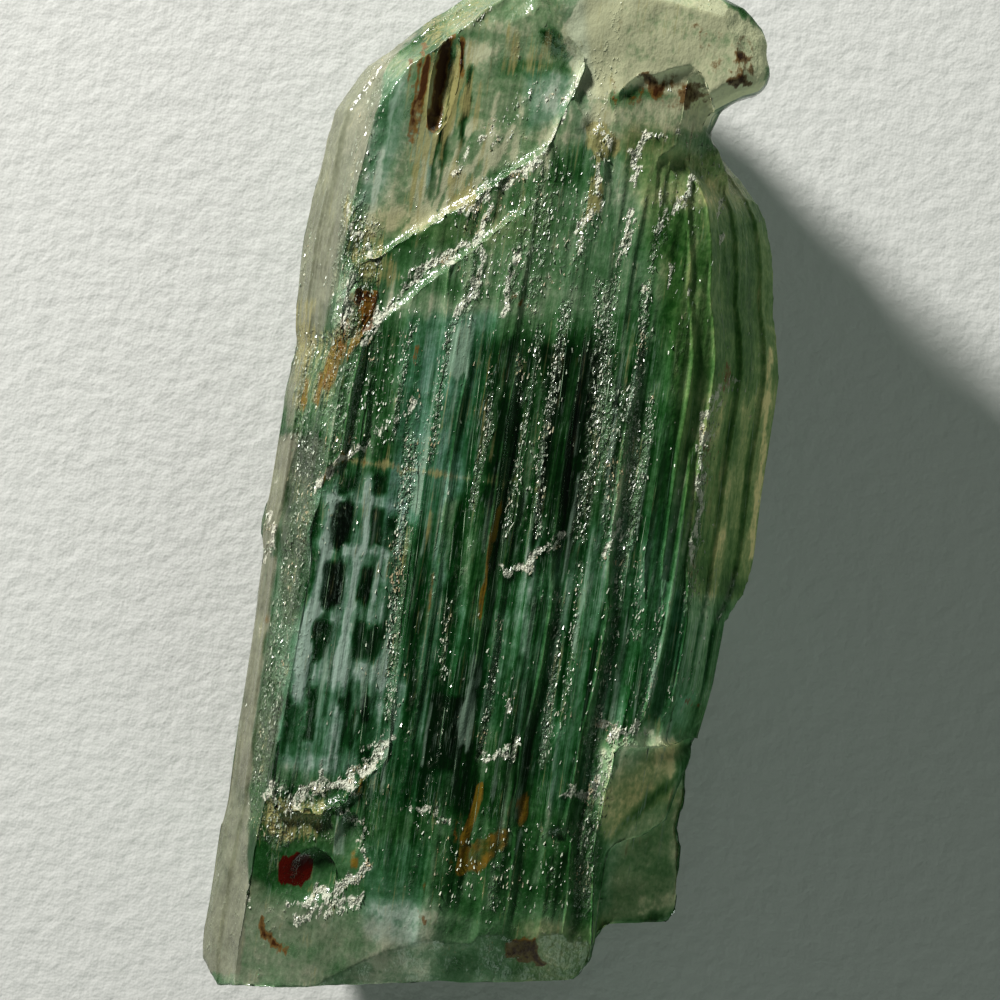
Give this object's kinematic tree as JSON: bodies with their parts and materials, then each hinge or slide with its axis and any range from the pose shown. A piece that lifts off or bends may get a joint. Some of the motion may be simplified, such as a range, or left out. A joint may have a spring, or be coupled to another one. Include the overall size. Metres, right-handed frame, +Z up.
{
  "type": "aquamarine crystal",
  "caption": "Loose broken prism of translucent green-blue beryl, striated lengthwise, with fractured ends, an overhanging lump at one end and a ledge at the other.",
  "frame": {"origin": "centre of the bounding box at its bottom, on the flat prism face the crystal rests on", "axes": "+Y along the crystal's c-axis (the prism axis and its striations) towards the end with the overhanging lump, +X across the crystal towards the side with the ledge, +Z up out of the striated face"},
  "size_m": [0.0268, 0.0576, 0.016],
  "materials": {
    "beryl": "natural growth faces and conchoidal breaks, clear to frosted, with iron stains"
  },
  "bodies": {
    "root": {"crystal": "beryl"}
  },
  "joints": []
}
